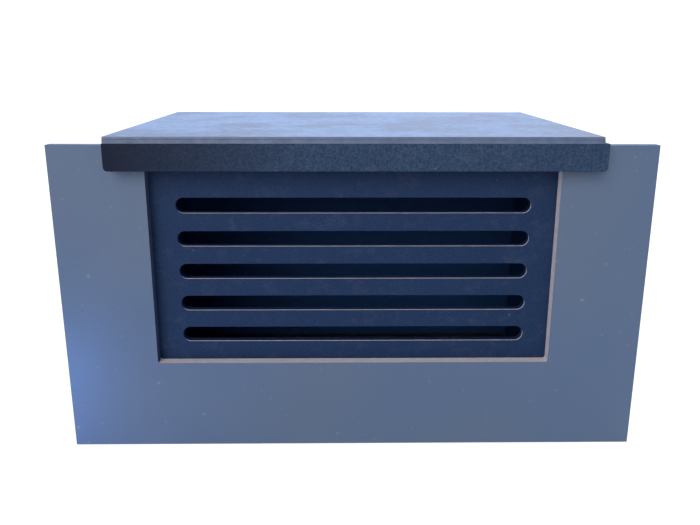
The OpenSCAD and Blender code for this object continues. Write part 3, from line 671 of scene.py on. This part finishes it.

# %% [markdown]
# ## Flap
# The flap is a board with five long slots, each cut with a round router bit, so their
# ends are half circles. A slot cutter is a cylinder whose two halves are pulled apart.
# A Boolean cuts each slot, and a fine bevel breaks the routed edges. The bevel's own
# faces get the finish in which the brown core shows, with a painted highlight on the lips
# that face the key light.

# %% Cut the slots
flap_low, flap_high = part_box("flap_panel")
SLOT_LENGTH, SLOT_EASE = 360 * MM, 0.5
SLOT_SLACK = 0.5 * MM  # the stated slot is this much smaller than the real one, above and below
slots = [o for o in frame["record"]["physics"]["openings"] if o["name"].startswith("slot_")]
slot_height = slots[0]["box_m"][1][2] - slots[0]["box_m"][0][2] + 2 * SLOT_SLACK
flap = block("flap_slotted_panel", flap_low, flap_high)
flap_middle, flap_thick = (flap_low.y + flap_high.y) / 2, flap_high.y - flap_low.y
reach = (SLOT_LENGTH - slot_height) / 2
for slot in slots:
    centre = (0, flap_middle, (slot["box_m"][0][2] + slot["box_m"][1][2]) / 2)
    cutter = post("slot_cutter", centre, slot_height / 2, flap_thick * 3, 64)
    edit(cutter)
    slice_at((0, 0, 0), (1, 0, 0))
    for side in (-1, 1):
        shape = bmesh.from_edit_mesh(cutter.data)
        for vert in shape.verts:
            vert.select_set(vert.co.x * side > 0.1 * MM)
        bmesh.update_edit_mesh(cutter.data)
        bpy.ops.mesh.select_mode(type="VERT")
        bpy.ops.transform.translate(value=(side * reach, 0, 0))
    bpy.ops.object.mode_set(mode="OBJECT")
    cut_away(flap, cutter)
ease_edges(flap, SLOT_EASE)

# %% Show the brown core and its painted highlight on the slots' broken edges
flap.data.materials.append(pebbled_flap)
flap.data.materials.append(routed_arris)
AROUND = 2 * MM
slots_low, slots_top = slots[0]["box_m"][0][2] - AROUND, slots[-1]["box_m"][1][2] + AROUND
for face in flap.data.polygons:
    c, n = face.center, face.normal
    at_slots = abs(c.x) < SLOT_LENGTH / 2 + AROUND and slots_low < c.z < slots_top
    face.material_index = int(at_slots and 0.2 < abs(n.y) < 0.98)
print("cut", len(slots), "slots; arris faces:", sum(f.material_index for f in flap.data.polygons))
stand_for(flap, "flap_panel")

# %% [markdown]
# ## Lid
# Three pieces make the lid: a thin top sheet, a core board under it, and a deep nosing
# let into a rebate under the front edge. Sheet and board end flush at the front, and
# only the fine shadow between their broken edges tells them apart. The nosing is a
# little longer than they are, and its lower corners are rounded.

# %% Bevel chosen edges of a block
def bevel_edges(piece, wanted, radius, segments):
    """Bevels the edges whose two ends pass the test."""
    edit(piece)
    bpy.ops.mesh.select_mode(type="EDGE")
    shape = bmesh.from_edit_mesh(piece.data)
    for edge in shape.edges:
        edge.select_set(bool(wanted(edge.verts[0].co, edge.verts[1].co)))
    count = sum(edge.select for edge in shape.edges)
    bmesh.update_edit_mesh(piece.data)
    bpy.ops.mesh.bevel(offset=radius, segments=segments, affect="EDGES")
    bpy.ops.object.mode_set(mode="OBJECT")
    return count


def at(value, target):
    return abs(value - target) < 0.1 * MM


# %% Shape the top sheet and the nosing
sheet_low, sheet_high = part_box("lid_top_sheet")
SHEET_CORNER, SHEET_EASE, NOSE_ROUND, NOSE_EASE = 1.2 * MM, 0.5, 4 * MM, 0.6
top_sheet = block("lid_sheet_eased", sheet_low, sheet_high)
uprights = bevel_edges(top_sheet, lambda a, b: at(a.x, b.x) and at(a.y, b.y), SHEET_CORNER, 4)
print("rounded", uprights, "upright edges of the top sheet")
ease_edges(top_sheet, SHEET_EASE)
stand_for(top_sheet, "lid_top_sheet")

nose_low, nose_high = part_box("lid_nosing")
nosing = block("lid_nosing_strip", nose_low, nose_high)


def lower_end(a, b):
    return at(a.z, nose_low.z) and at(b.z, nose_low.z) and at(a.x, b.x)


print("rounded", bevel_edges(nosing, lower_end, NOSE_ROUND, 8), "lower edges of the nosing")
ease_edges(nosing, NOSE_EASE)
stand_for(nosing, "lid_nosing", pebbled_nosing)

# %% [markdown]
# ## Carcass boards, feet, sockets and arms
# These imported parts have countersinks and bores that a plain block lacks, so a copy of
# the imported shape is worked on. Its loose triangles are merged, flat areas are made
# whole again, and its edges are eased like the other boards'. Only edges that turn by
# more than 50 degrees are rounded: the rim of a bore is, its many-sided wall isn't.

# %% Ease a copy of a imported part
def eased_copy(node, name, radius_mm, segments=2):
    all_clear()
    packed = frame["nodes"][node]
    piece = bpy.data.objects.new(name, packed.data.copy())
    bpy.context.collection.objects.link(piece)
    edit(piece)
    bpy.ops.mesh.select_all(action="SELECT")
    bpy.ops.mesh.remove_doubles(threshold=0.001 * MM)
    bpy.ops.mesh.dissolve_limited(angle_limit=math.radians(1))
    bpy.ops.object.mode_set(mode="OBJECT")
    ease_edges(piece, radius_mm, segments, 50)
    stand_for(piece, node)
    return piece


SANDED, BROKEN, MOULDED, PRESSED = 0.5, 0.4, 0.8, 0.3  # mm, how round the edges are left
eased = [(SANDED, ("side_left", "side_right")), (BROKEN, ("base_board", "back_board")),
         (SANDED, ("lid_core",)),
         (MOULDED, ("foot_front_left", "foot_front_right", "foot_rear_left", "foot_rear_right")),
         (SANDED, ("rod_socket_left", "rod_socket_right")),
         (PRESSED, ("flap_arm_left", "flap_arm_right", "lock_keeper",
                    "wing_bracket_left_upper", "wing_bracket_left_lower",
                    "wing_bracket_right_upper", "wing_bracket_right_lower",
                    "base_bracket_left", "base_bracket_right"))]
for radius, nodes in eased:
    for node in nodes:
        eased_copy(node, node + "_eased", radius)

# %% [markdown]
# ## Lining
# Boards like these are faced with decor laminate outside and a plain backing laminate
# inside, so that they stay flat. The lining is a second material on the same piece, for
# the faces that lie in one of the four planes of the inside. Its deep blue is also painted
# shade, for the dark inside of the closed box.

# %% Face the inside of the carcass
inside_left, inside_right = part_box("side_left")[1].x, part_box("side_right")[0].x
inside_back, inside_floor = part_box("back_board")[0].y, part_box("base_board")[1].z
for name in ("side_left", "side_right", "base_board", "back_board"):
    board = bpy.data.objects[name + "_eased"]
    board.data.materials.append(painted_shade_lining)
    for face in board.data.polygons:
        c, n = face.center, face.normal
        inside = (at(c.x, inside_left) and n.x > 0.9) or (at(c.x, inside_right) and n.x < -0.9)
        inside = inside or (at(c.y, inside_back) and n.y < -0.9) or (at(c.z, inside_floor) and n.z > 0.9)
        face.material_index = int(inside)
    print(name, "has", sum(f.material_index for f in board.data.polygons), "lining faces")

# %% [markdown]
# ## Landing mat
# The mat is moulded rubber: a thin sheet with rounded ribs across it, which take the
# blow of a falling book. One rib is a block with its upper edges rounded, an Array
# modifier repeats it, and the sheet is joined to the ribs.

# %% Mould the mat
mat_low, mat_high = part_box("landing_mat")
RIB_STEP, RIB_WIDE, RIB_HIGH, RIB_ROUND = 8 * MM, 4.6 * MM, 1.2 * MM, 1.0 * MM
RIB_MARGIN, MAT_MARGIN, RIB_SUNK, MAT_EASE = 6 * MM, 4 * MM, 0.2 * MM, 0.6
sheet = block("landing_mat_ribbed", mat_low, (mat_high.x, mat_high.y, mat_high.z - RIB_HIGH))
ease_edges(sheet, MAT_EASE, 2)
rib_start = mat_low.y + MAT_MARGIN
rib = block("rib", (mat_low.x + RIB_MARGIN, rib_start, mat_high.z - RIB_HIGH - RIB_SUNK),
            (mat_high.x - RIB_MARGIN, rib_start + RIB_WIDE, mat_high.z))
bevel_edges(rib, lambda a, b: at(a.z, mat_high.z) and at(b.z, mat_high.z), RIB_ROUND, 4)
repeat = rib.modifiers.new("ribs", "ARRAY")
repeat.use_relative_offset = False
repeat.use_constant_offset = True
repeat.constant_offset_displace = (0, RIB_STEP, 0)
repeat.count = int((mat_high.y - MAT_MARGIN - rib_start) / RIB_STEP)
repeat_count = repeat.count
all_clear()
rib.select_set(True)
bpy.context.view_layer.objects.active = rib
bpy.ops.object.modifier_apply(modifier=repeat.name)
bpy.ops.object.shade_smooth_by_angle(angle=math.radians(40))
sheet.select_set(True)
bpy.context.view_layer.objects.active = sheet
bpy.ops.object.join()
print("moulded", repeat_count, "ribs")
stand_for(sheet, "landing_mat")
